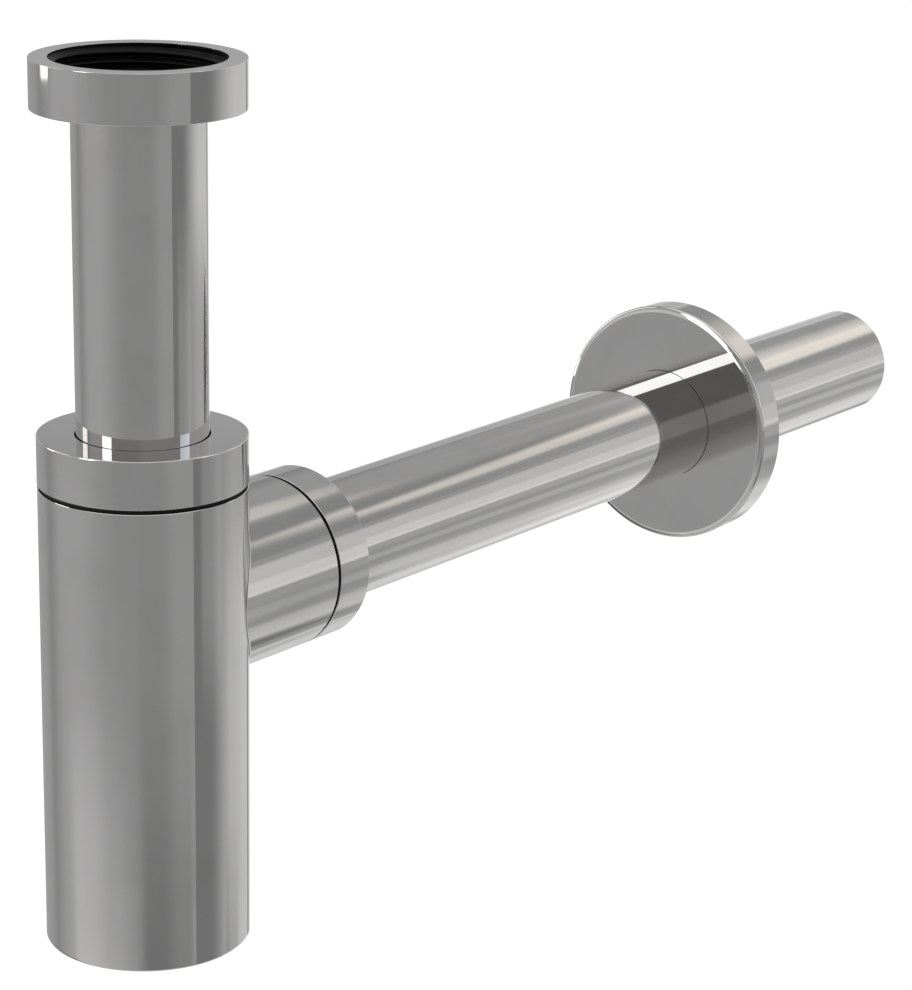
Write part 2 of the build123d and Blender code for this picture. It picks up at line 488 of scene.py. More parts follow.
@dataclass(frozen=True)
class ChromeFinish(Finish):
    """Bright chromium plating on polished brass, with the faint marks of the polishing belt and a painted
    highlight on its convex edges.
    """

    name: str
    marks: Marks
    mark_depth: float
    colour: tuple[float, float, float, float] = (0.553, 0.549, 0.543, 1)
    film_colour: tuple[float, float, float, float] = (0.530, 0.526, 0.520, 1)
    # Lighter colour on the convex rounded edges: a painted highlight.
    edge_highlight_colour: tuple[float, float, float, float] = (0.600, 0.597, 0.592, 1)
    grazing_tint: tuple[float, float, float, float] = (0.85, 0.85, 0.85, 1)
    roughness: float = 0.035
    film_roughness: float = 0.060
    marks_per_mm: float = 3.0
    changes_per_mm: float = 0.04
    marks_dulling: float = 0.3
    cloud_size: float = 22.0
    drop_size: float = 5.0

    def dress(self, nodes: Nodes, shader: bpy.types.Node, place: bpy.types.NodeSocket) -> None:
        """Join the plating's colour, film and marks to the shader.

        Args:
            nodes: The material's nodes.
            shader: Its Principled BSDF.
            place: The point's place in millimetres.
        """
        drawn = 1.0 if self.marks is Marks.DRAWN else 0.0
        film, rims = self.film_and_rims(nodes, place)
        lines = nodes.group(
            Effects.worked_marks(),
            {"Place": place, "Across": self.marks_per_mm, "Along": self.changes_per_mm, "Drawn": drawn},
        )
        tinted = nodes.blend(film.outputs["Clouds"], self.colour, self.film_colour)
        # Convex edges take the lighter colour: a painted highlight.
        tinted = nodes.blend(rims.outputs["Edge"], tinted, self.edge_highlight_colour)
        nodes.feed(shader.inputs["Base Color"], tinted)
        dull = nodes.math("MAXIMUM", film.outputs["Clouds"], film.outputs["Drops"])
        dull = nodes.math("MULTIPLY_ADD", lines.outputs["Height"], self.marks_dulling, dull)
        nodes.feed(shader.inputs["Roughness"], nodes.spread(dull, self.roughness, self.film_roughness))
        self.raise_marks(nodes, shader, lines.outputs["Height"], self.mark_depth)
        shader.inputs["Metallic"].default_value = 1.0
        shader.inputs["Specular Tint"].default_value = self.grazing_tint


@dataclass(frozen=True)
class BrassFinish(Finish):
    """Bare turned brass inside the joints, with the tool's rings, dull thread roots, and lighter convex
    edges that are partly rubbed wear and partly a painted highlight.
    """

    name: str = "bare_brass"
    colour: tuple[float, float, float, float] = (0.78, 0.58, 0.30, 1)
    tarnish: tuple[float, float, float, float] = (0.42, 0.27, 0.13, 1)
    # Convex edges: tarnish rubbed off, and lighter than clean brass as a painted highlight.
    edge_highlight_colour: tuple[float, float, float, float] = (0.88, 0.71, 0.42, 1)
    roughness: float = 0.20
    dull_roughness: float = 0.42
    ring_depth: float = 0.000012
    rings_per_mm: float = 5.0
    changes_per_mm: float = 0.05
    tarnish_share: float = 0.6
    cloud_size: float = 7.0
    drop_size: float = 3.0

    def dress(self, nodes: Nodes, shader: bpy.types.Node, place: bpy.types.NodeSocket) -> None:
        """Join the brass's colour, rings and tarnish to the shader.

        Args:
            nodes: The material's nodes.
            shader: Its Principled BSDF.
            place: The point's place in millimetres.
        """
        film, rims = self.film_and_rims(nodes, place)
        rings = nodes.group(
            Effects.worked_marks(),
            {"Place": place, "Across": self.rings_per_mm, "Along": self.changes_per_mm, "Drawn": 0.0},
        )
        dull = nodes.math("MAXIMUM", film.outputs["Clouds"], rims.outputs["Groove"])
        tarnished = nodes.math("MULTIPLY", dull, self.tarnish_share)
        tinted = nodes.blend(tarnished, self.colour, self.tarnish)
        # Convex edges: partly rubbed wear, partly a painted highlight.
        tinted = nodes.blend(rims.outputs["Edge"], tinted, self.edge_highlight_colour)
        nodes.feed(shader.inputs["Base Color"], tinted)
        nodes.feed(shader.inputs["Roughness"], nodes.spread(dull, self.roughness, self.dull_roughness))
        self.raise_marks(nodes, shader, rings.outputs["Height"], self.ring_depth)
        shader.inputs["Metallic"].default_value = 1.0


@dataclass(frozen=True)
class MouldedFinish(Finish):
    """Moulded rubber or polymer: an even colour with a fine grain, a film, and lighter convex edges that
    are partly rubbed wear and partly a painted highlight.
    """

    name: str
    colour: tuple[float, float, float, float]
    film_colour: tuple[float, float, float, float]
    edge_highlight_colour: tuple[float, float, float, float]
    roughness: float
    film_roughness: float
    grain_per_mm: float
    grain_depth: float
    gloss: float = 0.5
    edge_share: float = 0.5
    cloud_size: float = 5.0
    drop_size: float = 2.0

    def dress(self, nodes: Nodes, shader: bpy.types.Node, place: bpy.types.NodeSocket) -> None:
        """Join the moulding's colour, film and grain to the shader.

        Args:
            nodes: The material's nodes.
            shader: Its Principled BSDF.
            place: The point's place in millimetres.
        """
        film, rims = self.film_and_rims(nodes, place)
        clouds = film.outputs["Clouds"]
        # Lighter convex edges: partly rubbed wear, partly a painted highlight.
        wear_and_highlight = nodes.math("MULTIPLY", rims.outputs["Edge"], self.edge_share)
        tinted = nodes.blend(clouds, self.colour, self.film_colour)
        nodes.feed(shader.inputs["Base Color"], nodes.blend(wear_and_highlight, tinted, self.edge_highlight_colour))
        nodes.feed(shader.inputs["Roughness"], nodes.spread(clouds, self.roughness, self.film_roughness))
        grain = nodes.noise(place, self.grain_per_mm, detail=3.0)
        self.raise_marks(nodes, shader, grain, self.grain_depth)
        shader.inputs["Specular IOR Level"].default_value = self.gloss


DRAWN_CHROME = ChromeFinish("drawn_chrome", Marks.DRAWN, 0.0000004)
TURNED_CHROME = ChromeFinish(
    "turned_chrome", Marks.TURNED, 0.00000008, roughness=0.022, film_roughness=0.036
)
# The same plating as the other chrome, given a darker colour: painted shade on the rosette.
SHADED_ROSETTE_CHROME = ChromeFinish(
    "rosette_chrome_painted_shade", Marks.TURNED, 0.00000008, roughness=0.022, film_roughness=0.036,
    colour=(0.485, 0.481, 0.476, 1), film_colour=(0.466, 0.462, 0.457, 1),
)
BRASS = BrassFinish()
RUBBER = MouldedFinish(
    "seal_rubber", (0.005, 0.005, 0.0055, 1), (0.009, 0.009, 0.0095, 1), (0.015, 0.015, 0.016, 1),
    0.55, 0.72, 9.0, 0.000015, gloss=0.15,
)
# Near-black colour on the nut's bore and its thread: painted shade of the deep bore.
BORE_PAINTED_SHADE = MouldedFinish(
    "bore_painted_shade", (0.006, 0.006, 0.0065, 1), (0.011, 0.011, 0.0115, 1), (0.018, 0.018, 0.019, 1),
    0.42, 0.55, 7.0, 0.000008, gloss=0.12,
)
POLYMER = MouldedFinish(
    "slip_polymer", (0.76, 0.75, 0.71, 1), (0.70, 0.69, 0.65, 1), (0.82, 0.81, 0.78, 1),
    0.32, 0.44, 6.0, 0.000006,
)


@dataclass(frozen=True)
class Corner:
    """A corner of a half section: its radius, its height on the axis and its edge's round, in mm."""

    radius: float
    height: float
    edge: float = 0.15


def flat_ring_corners(bore_r: float, outer_r: float, span: tuple[float, float],
                      rim: float = Corner.edge) -> tuple[Corner, ...]:
    """The half section of a flat ring.

    Args:
        bore_r: The radius of its hole.
        outer_r: Its outer radius.
        span: Its lowest and highest place on the axis.
        rim: The round of its two outer edges.

    Returns:
        The four corners.
    """
    low, high = span
    return Corner(bore_r, low), Corner(outer_r, low, rim), Corner(outer_r, high, rim), Corner(bore_r, high)


@dataclass(frozen=True)
class OutlinePoint:
    """A point of a rounded half section, with the way that its surface faces.

    Along is its distance from the start of a threaded side, and 0 on every other side.
    """

    radius: float
    height: float
    facing: tuple[float, float]
    side: int
    on_edge: bool
    along: float = 0.0


@dataclass(frozen=True)
class Thread:
    """A helical thread on one side of a half section. Its depth is from the side's own radius."""

    side: int
    pitch: float
    depth: float
    run_out: float = 1.2
    plain_before: float = 0.5
    plain_after: float = 0.5
    steepness: float = 1.0
    steps_per_turn: int = 12

    def wave(self, phase: float) -> tuple[float, float]:
        """The thread's form over one pitch.

        Args:
            phase: How far round one pitch the point is, from 0 to 1.

        Returns:
            The share of the depth from 0 to 1, and how fast it changes with the phase.
        """
        swing = -math.cos(FULL_TURN * phase) * self.steepness
        if abs(swing) >= 1:
            return (1.0 if swing > 0 else 0.0), 0.0
        return 0.5 + 0.5 * swing, 0.5 * FULL_TURN * math.sin(FULL_TURN * phase) * self.steepness

    def cut(self, length: float, place: float, height: float, angle: float) -> tuple[float, float, float]:
        """What the thread does to the side at one point.

        Args:
            length: The side's straight length.
            place: How far along the side the point is.
            height: Its height on the axis.
            angle: Its angle round the axis.

        Returns:
            The change of radius, its slope with height, and the share of the depth.
        """
        start = place - self.plain_before
        end = length - self.plain_after - place
        fade = max(0.0, min(1.0, start / self.run_out, end / self.run_out))
        share, rate = self.wave((height / self.pitch - angle / FULL_TURN) % 1.0)
        return self.depth * fade * share, self.depth * fade * rate / self.pitch, fade * share


@dataclass
class HalfSection:
    """The half section of a turned piece, its corners listed anticlockwise with the axis at the left."""

    corners: Sequence[Corner]
    thread: Thread | None = None
    smallest_arc_steps: int = 3
    arc_step: float = 0.12

    def directions(self) -> list[tuple[float, float]]:
        """The unit direction of each side, from its own corner to the next one."""
        found = []
        for corner, following in zip(self.corners, (*self.corners[1:], self.corners[0])):
            across = following.radius - corner.radius
            along = following.height - corner.height
            length = math.hypot(across, along)
            found.append((across / length, along / length))
        return found

    def arc(self, index: int, ways: Sequence[tuple[float, float]]) -> list[OutlinePoint]:
        """The rounded edge at one corner.

        Args:
            index: The corner's place in the list.
            ways: The direction of each side.

        Returns:
            The arc's points, from the side before to the side after.
        """
        corner = self.corners[index]
        before, after = ways[index - 1], ways[index]
        turn = math.atan2(
            before[0] * after[1] - before[1] * after[0], before[0] * after[0] + before[1] * after[1]
        )
        back = corner.edge * math.tan(abs(turn) / 2)
        start = (corner.radius - before[0] * back, corner.height - before[1] * back)
        first = (before[1], -before[0])
        sign = 1 if turn > 0 else -1
        middle = (start[0] - sign * first[0] * corner.edge, start[1] - sign * first[1] * corner.edge)
        steps = max(self.smallest_arc_steps, math.ceil(corner.edge * abs(turn) / self.arc_step))
        points = []
        for step in range(steps + 1):
            swung = turn * step / steps
            facing = (
                first[0] * math.cos(swung) - first[1] * math.sin(swung),
                first[0] * math.sin(swung) + first[1] * math.cos(swung),
            )
            points.append(
                OutlinePoint(
                    middle[0] + sign * facing[0] * corner.edge,
                    middle[1] + sign * facing[1] * corner.edge,
                    facing,
                    index if step == steps else (index - 1) % len(self.corners),
                    0 < step < steps and sign > 0,
                )
            )
        return points

    def points(self) -> list[OutlinePoint]:
        """The whole outline, with every edge rounded and the threaded side divided finely."""
        ways = self.directions()
        arcs = [self.arc(index, ways) for index in range(len(self.corners))]
        outline = []
        for index, arc in enumerate(arcs):
            outline.extend(arc)
            if self.thread and self.thread.side == index:
                outline.extend(self.threaded_side(arc[-1], arcs[(index + 1) % len(arcs)][0]))
        return outline

    def threaded_side(self, start: OutlinePoint, end: OutlinePoint) -> list[OutlinePoint]:
        """The points along the threaded side, between its two arcs.

        Args:
            start: Where the side's straight part starts.
            end: Where it ends.

        Returns:
            The points between them.
        """
        length = math.hypot(end.radius - start.radius, end.height - start.height)
        steps = math.ceil(length / self.thread.pitch * self.thread.steps_per_turn)
        return [
            OutlinePoint(
                start.radius + (end.radius - start.radius) * step / steps,
                start.height + (end.height - start.height) * step / steps,
                start.facing,
                start.side,
                False,
                step / steps * length,
            )
            for step in range(1, steps)
        ]


def set_in_place(name: str, mesh: bpy.types.Mesh, body: str) -> bpy.types.Object:
    """Add a piece's mesh to the scene, on its body and for the CAD node of its name.

    Args:
        name: The piece's name, which is the node's.
        mesh: The finished mesh.
        body: The body that it rides on.

    Returns:
        The piece's object.
    """
    piece = bpy.data.objects.new(f"{name}_dressed", mesh)
    bpy.context.scene.collection.objects.link(piece)
    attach(piece, body)
    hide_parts(name)
    log.info("%s: %d faces", piece.name, len(mesh.polygons))
    return piece


@dataclass
class TurnedPiece:
    """A piece turned about its axis from a half section, which stands for a CAD node."""

    name: str
    body: str
    slot: Slot
    axis: TurnAxis
    section: HalfSection
    finish: Finish
    # A second finish on some sides; it paints the near-black shade in the inlet nut's bore.
    painted_shade_finish: Finish | None = None
    painted_shade_sides: tuple[int, ...] = ()
    segments: int = 144

    def laid(self, radius: float, angle: float, height: float) -> Vector:
        """A direction or place on the axis that points up, laid on the piece's own axis."""
        across, aside = radius * math.cos(angle), radius * math.sin(angle)
        if self.axis is TurnAxis.UP:
            return Vector((across, aside, height))
        return Vector((height, aside, -across))

    def make(self) -> bpy.types.Object:
        """Turn the piece, dress it, and set it in its CAD node's place.

        Returns:
            The piece's object.
        """
        outline = self.section.points()
        thread = self.section.thread
        origin = Vector((0, 0, 0 if self.axis is TurnAxis.UP else axis_height()))
        ways = self.section.directions()
        side_length = 0.0
        if thread:
            side_length = max(point.along for point in outline if point.side == thread.side)
        places, normals, edges, grooves = [], [], [], []
        for point in outline:
            for segment in range(self.segments):
                angle = FULL_TURN * segment / self.segments
                radius, facing, depth = point.radius, point.facing, 0.0
                if point.along:
                    change, slope, depth = thread.cut(side_length, point.along, point.height, angle)
                    radius += change
                    sign = 1 if ways[thread.side][1] > 0 else -1
                    steep = math.hypot(1, slope)
                    facing = (sign / steep, -sign * slope / steep)
                places.append(origin + self.laid(radius, angle, point.height) * MM)
                normals.append(self.laid(facing[0], angle, facing[1]))
                edges.append(1.0 if point.on_edge else 0.0)
                grooves.append(depth)
        mesh = self.join(places, outline)
        mesh.normals_split_custom_set_from_vertices(normals)
        for name, values in ((EDGE, edges), (GROOVE, grooves)):
            mesh.attributes.new(name, "FLOAT", "POINT").data.foreach_set("value", values)
        return set_in_place(self.name, mesh, self.body)

    def join(self, places: Sequence[Vector], outline: Sequence[OutlinePoint]) -> bpy.types.Mesh:
        """Join the rings of points into a closed mesh.

        Args:
            places: The points, ring by ring.
            outline: The outline's points, one for each ring.

        Returns:
            The mesh, with its materials.
        """
        around, rings = self.segments, len(outline)
        faces, kinds = [], []
        for ring, point in enumerate(outline):
            low, high = ring * around, (ring + 1) % rings * around
            for segment in range(around):
                following = (segment + 1) % around
                faces.append((low + segment, low + following, high + following, high + segment))
                kinds.append(1 if point.side in self.painted_shade_sides else 0)
        mesh = bpy.data.meshes.new(self.name)
        mesh.from_pydata(places, [], faces)
        mesh.shade_smooth()
        for finish in (self.finish, self.painted_shade_finish):
            if finish:
                mesh.materials.append(finish.material(self.axis))
        mesh.polygons.foreach_set("material_index", kinds)
        return mesh


@dataclass
class InletUnion:
    """The inlet nut with the gasket, flanged tube and thrust ring that it holds."""

    tube_r: float = 16.0
    tube_bore_r: float = 15.0
    thread_r: float = 20.95
    thread_form_depth: float = 1.47
    thread_pitch: float = 2.309
    relief_r: float = 21.6
    lip: float = 2.0
    hole_clearance: float = 0.5
    top_round: float = 0.15
    ring_clearance: float = 1.0
    gasket_bore_clearance: float = 0.3
    flange_thickness: float = 1.2
    flange_bend: float = 0.7
    # The nut's bore sides, which take the near-black painted shade.
    bore_shade_sides: tuple[int, ...] = (3, 4, 5, 6)

    def nut(self) -> TurnedPiece:
        """The round nut, plated outside, with near-black painted shade in its bore, and its pipe thread.
        """
        low, high = node_span("inlet_nut", TurnAxis.UP)
        outer_r = node_radius("inlet_nut")
        hole_r = self.tube_r + self.hole_clearance
        corners = (
            Corner(hole_r, low, 0.2),
            Corner(outer_r, low, 0.2),
            Corner(outer_r, high, self.top_round),
            Corner(self.thread_r, high, 0.04),
            Corner(self.thread_r, 0, 0.05),
            Corner(self.relief_r, 0, 0.05),
            Corner(self.relief_r, low + self.lip, 0.3),
            Corner(hole_r, low + self.lip, 0.1),
        )
        thread = Thread(
            self.bore_shade_sides[0], self.thread_pitch, -self.thread_form_depth,
            run_out=1.0, plain_before=0.25, plain_after=0.2,
        )
        return TurnedPiece(
            "inlet_nut", "inlet_nut", Slot.CHROME, TurnAxis.UP, HalfSection(corners, thread),
            TURNED_CHROME, BORE_PAINTED_SHADE, self.bore_shade_sides, segments=192,
        )

    def flat_ring(self, name: str, body: str, slot: Slot, finish: Finish, bore_r: float) -> TurnedPiece:
        """A flat ring with lightly rounded edges, as high and wide as its node.

        Args:
            name: The ring's node.
            body: The body that it rides on.
            slot: Its material slot.
            finish: What it is made of.
            bore_r: The radius of its hole.

        Returns:
            The ring.
        """
        corners = flat_ring_corners(bore_r, node_radius(name), node_span(name, TurnAxis.UP))
        return TurnedPiece(name, body, slot, TurnAxis.UP, HalfSection(corners), finish)

    def tube(self) -> TurnedPiece:
        """The dip tube with its rolled flange."""
        low, high = node_span("dip_tube", TurnAxis.UP)
        flange_r = node_radius("dip_tube")
        under = high - self.flange_thickness
        corners = (
            Corner(self.tube_bore_r, low, 0.2),
            Corner(self.tube_r, low, 0.3),
            Corner(self.tube_r, under, self.flange_bend),
            Corner(flange_r, under, 0.3),
            Corner(flange_r, high, 0.3),
            Corner(self.tube_bore_r, high, self.flange_bend),
        )
        return TurnedPiece(
            "dip_tube", "inlet_tube", Slot.CHROME, TurnAxis.UP, HalfSection(corners), DRAWN_CHROME,
            segments=192,
        )

    def make(self) -> None:
        """Turn the four pieces."""
        self.nut().make()
        bore_r = self.tube_bore_r + self.gasket_bore_clearance
        self.flat_ring("inlet_gasket", "inlet_tube", Slot.RUBBER, RUBBER, bore_r).make()
        bore_r = self.tube_r + self.ring_clearance
        self.flat_ring("inlet_thrust_ring", "inlet_ring", Slot.POLYMER, POLYMER, bore_r).make()
        self.tube().make()


@dataclass
class CompressionJoint:
    """A round nut with its threaded spigot, the gasket line, slip ring, cone seal and seat."""

    prefix: str
    seat: str
    axis: TurnAxis
    nut_face: float
    tube_r: float = 16.0
    thread_r: float = 19.5
    thread_clearance: float = 0.1
    thread_form_depth: float = 0.8
    thread_pitch: float = 1.5
    thread_steepness: float = 1.25
    seat_thread_end: float = 1.2
    spigot_wall: float = 1.8
    seam: float = 1.0
    tube_clearance: float = 0.3
    seal_clearance: float = 0.1
    seal_small_end: float = 0.6
    ring_play: float = 0.02
    seat_guide_clearance: float = 0.5
    seat_cone_top: float = 9.0
    seat_cone_length: float = 4.0
    face_round: float = 0.35

    def span(self, part: str) -> tuple[float, float]:
        """Where one of the joint's nodes starts and ends on the axis."""
        return node_span(f"{self.prefix}_{part}", self.axis)

    def seam_place(self) -> float:
        """Where the joint's gasket meets the tube that the joint closes."""
        return self.span("gasket")[0]

    def piece(self, part: str, body: str, slot: Slot, corners: Sequence[Corner], finish: Finish,
              thread: Thread | None = None) -> TurnedPiece:
        """One of the joint's turned pieces.

        Args:
            part: Its name after the joint's own.
            body: The body that it rides on.
            slot: Its material slot.
            corners: Its half section.
            finish: What it is made of.
            thread: Its thread, if it has one.

        Returns:
            The piece.
        """
        name = part if part == self.seat else f"{self.prefix}_{part}"
        return TurnedPiece(name, body, slot, self.axis, HalfSection(corners, thread), finish, segments=160)

    def nut(self) -> TurnedPiece:
        """The round nut and its spigot."""
        low, high = self.span("nut")
        seam_end = self.seam_place() + self.seam
        spigot_r = self.thread_r - self.thread_clearance
        bore_r = spigot_r - self.spigot_wall
        hole_r = self.tube_r + self.tube_clearance
        outer_r = node_radius(f"{self.prefix}_nut")
        corners = (
            Corner(bore_r, low),
            Corner(spigot_r, low, 0.3),
            Corner(spigot_r, seam_end, 0.1),
            Corner(outer_r, seam_end, 0.2),
            Corner(outer_r, high, self.face_round),
            Corner(hole_r, high, 0.12),
            Corner(hole_r, high - self.nut_face, 0.1),
            Corner(bore_r, high - self.nut_face, 0.2),
        )
        spigot_side = 1
        thread = Thread(
            spigot_side, self.thread_pitch, -self.thread_form_depth, steepness=self.thread_steepness
        )
        return self.piece("nut", f"{self.prefix}_nut", Slot.CHROME, corners, TURNED_CHROME, thread)

    def gasket(self) -> TurnedPiece:
        """The black gasket that shows as a line, its rim bulging a little."""
        bore_r = self.thread_r + self.thread_clearance
        outer_r = node_radius(f"{self.prefix}_gasket")
        corners = flat_ring_corners(bore_r, outer_r, self.span("gasket"), rim=0.4)
        return self.piece("gasket", "bottle", Slot.RUBBER, corners, RUBBER)

    def slip_ring(self) -> TurnedPiece:
        """The hard ring between the spigot and the seal, a hair clear of both faces."""
        low, high = self.span("slip_ring")
        span = (low + self.ring_play, high - self.ring_play)
        outer_r = node_radius(f"{self.prefix}_slip_ring")
        corners = flat_ring_corners(self.tube_r + self.tube_clearance, outer_r, span)
        return self.piece("slip_ring", f"{self.prefix}_ring", Slot.POLYMER, corners, POLYMER)

    def seal(self, body: str) -> TurnedPiece:
        """The rubber cone seal, with a soft rim.

        Args:
            body: The body that it rides on.

        Returns:
            The seal.
        """
        low, high = self.span("cone_seal")
        rim_r = node_radius(f"{self.prefix}_cone_seal")
        bore_r = self.tube_r + self.seal_clearance
        small_r = bore_r + self.seal_small_end
        slope = self.seat_cone_length / (self.thread_r - self.tube_r - self.seat_guide_clearance)
        rim_low = low + (rim_r - small_r) * slope
        corners = (
            Corner(bore_r, low, 0.1),
            Corner(small_r, low, 0.25),
            Corner(rim_r, rim_low, 0.3),
            Corner(rim_r, high, 0.3),
            Corner(bore_r, high),
        )
        return self.piece("cone_seal", body, Slot.RUBBER, corners, RUBBER)

    def seat_ring(self) -> TurnedPiece:
        """The brass ring with the thread and the cone that the seal sits in."""
        low, high = node_span(self.seat, self.axis)
        outer_r = node_radius(self.seat)
        guide_r = self.tube_r + self.seat_guide_clearance
        cone_top = high - self.seat_cone_top
        corners = (
            Corner(guide_r, low, 0.3),
            Corner(outer_r, low, 0.3),
            Corner(outer_r, high, 0.1),
            Corner(self.thread_r, high, 0.3),
            Corner(self.thread_r, cone_top, 0.2),
            Corner(guide_r, cone_top - self.seat_cone_length, 0.3),
        )
        thread_side = 3
        thread = Thread(
            thread_side, self.thread_pitch, self.thread_form_depth,
            plain_after=self.seat_thread_end, steepness=self.thread_steepness,
        )
        return self.piece(self.seat, "bottle", Slot.BRASS, corners, BRASS, thread)

    def make(self, seal_body: str) -> None:
        """Turn the joint's five pieces.

        Args:
            seal_body: The body that the cone seal rides on.
        """
        for piece in (self.nut(), self.gasket(), self.slip_ring(), self.seal(seal_body), self.seat_ring()):
            piece.make()


@dataclass
class Bottle:
    """The bottle's drawn shell and base, and the coped branch with its line of braze."""

    branch_wall: float = 1.5
    braze_gap: float = 0.05
    braze_round: float = 0.9
    end_round: float = 0.2
    segments: int = 144
    fillet_steps: int = 8
    end_steps: int = 3

    def branch_rings(self) -> list[list[tuple[Vector, Vector]]]:
        """The branch's rings of points and facings, from the saddle out and back through the bore."""
        bottle_r = node_radius("bottle_shell") + self.braze_gap
        branch_r = node_radius("outlet_branch")
        bore_r = branch_r - self.branch_wall
        end = node_span("outlet_branch", TurnAxis.OUT)[1]
        angles = [FULL_TURN * step / self.segments for step in range(self.segments)]
        rings = []
        for step in range(self.fillet_steps + 1):
            share = step / self.fillet_steps
            rings.append([self.braze_point(angle, share, bottle_r, branch_r) for angle in angles])
        edge, quarter = self.end_round, math.pi / 2
        for middle, first in ((branch_r - edge, 0.0), (bore_r + edge, quarter)):
            for step in range(self.end_steps + 1):
                swung = first + quarter * step / self.end_steps
                facing = (math.cos(swung), math.sin(swung))
                radius, place = middle + edge * facing[0], end - edge + edge * facing[1]
                rings.append([self.ring_point(angle, radius, place, facing) for angle in angles])
        rings.append([self.saddle_point(angle, bore_r, bottle_r) for angle in angles])
        return rings

    @staticmethod
    def ring_point(angle: float, radius: float, place: float,
                   facing: tuple[float, float]) -> tuple[Vector, Vector]:
        """A point of a plain ring on the outlet's axis, with its facing across and along the axis."""
        across = Vector((0, math.sin(angle), math.cos(angle)))
        return across * radius + Vector((place, 0, 0)), across * facing[0] + Vector((facing[1], 0, 0))

    @staticmethod
    def saddle_point(angle: float, radius: float, bottle_r: float) -> tuple[Vector, Vector]:
        """A point of the bore's end on the bottle's side, facing into the bore."""
        aside = radius * math.sin(angle)
        place = Vector((math.sqrt(bottle_r**2 - aside**2), aside, radius * math.cos(angle)))
        return place, Vector((0, -math.sin(angle), -math.cos(angle)))

    def braze_point(self, angle: float, share: float, bottle_r: float,
                    branch_r: float) -> tuple[Vector, Vector]:
        """A point of the hollow round of braze between the bottle and the branch.

        Args:
            angle: The point's angle round the branch.
            share: 0 on the bottle, 1 on the branch.
            bottle_r: The bottle's outer radius.
            branch_r: The branch's outer radius.

        Returns:
            The point and the way it faces.
        """
        wide = branch_r + self.braze_round
        aside, above = wide * math.sin(angle), wide * math.cos(angle)
        reach = bottle_r + self.braze_round
        middle = Vector((math.sqrt(reach**2 - aside**2), aside, above))
        to_bottle = Vector((-middle.x, -middle.y, 0)).normalized()
        to_branch = Vector((0, -math.sin(angle), -math.cos(angle)))
        way = to_bottle.slerp(to_branch, share)
        return middle + way * self.braze_round, -way

    def make_branch(self) -> None:
        """Build the branch as one closed mesh and set it in place."""
        rings = self.branch_rings()
        points = [point for ring in rings for point in ring]
        origin = Vector((0, 0, axis_height()))
        count, around = len(rings), self.segments
        faces = [
            (ring * around + one, (ring + 1) % count * around + one,
             (ring + 1) % count * around + (one + 1) % around, ring * around + (one + 1) % around)
            for ring in range(count)
            for one in range(around)
        ]
        mesh = bpy.data.meshes.new("outlet_branch")
        mesh.from_pydata([origin + place * MM for place, _ in points], [], faces)
        mesh.shade_smooth()
        mesh.normals_split_custom_set_from_vertices([facing for _, facing in points])
        mesh.materials.append(DRAWN_CHROME.material(TurnAxis.OUT))
        set_in_place("outlet_branch", mesh, "bottle")

    def make(self) -> None:
        """Dress the shell and the base, and build the branch."""
        dress_node("bottle_shell", DRAWN_CHROME, TurnAxis.UP)
        dress_node("bottle_base", TURNED_CHROME, TurnAxis.UP)
        self.make_branch()


def dress_node(name: str, finish: Finish, axis: TurnAxis) -> None:
    """Give a CAD node whose shape is right its finish.

    Args:
        name: The node's name.
        finish: What it is made of.
        axis: The way its axis points.
    """
    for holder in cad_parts[name].material_slots:
        holder.material = finish.material(axis)
    log.info("%s keeps its shape", name)


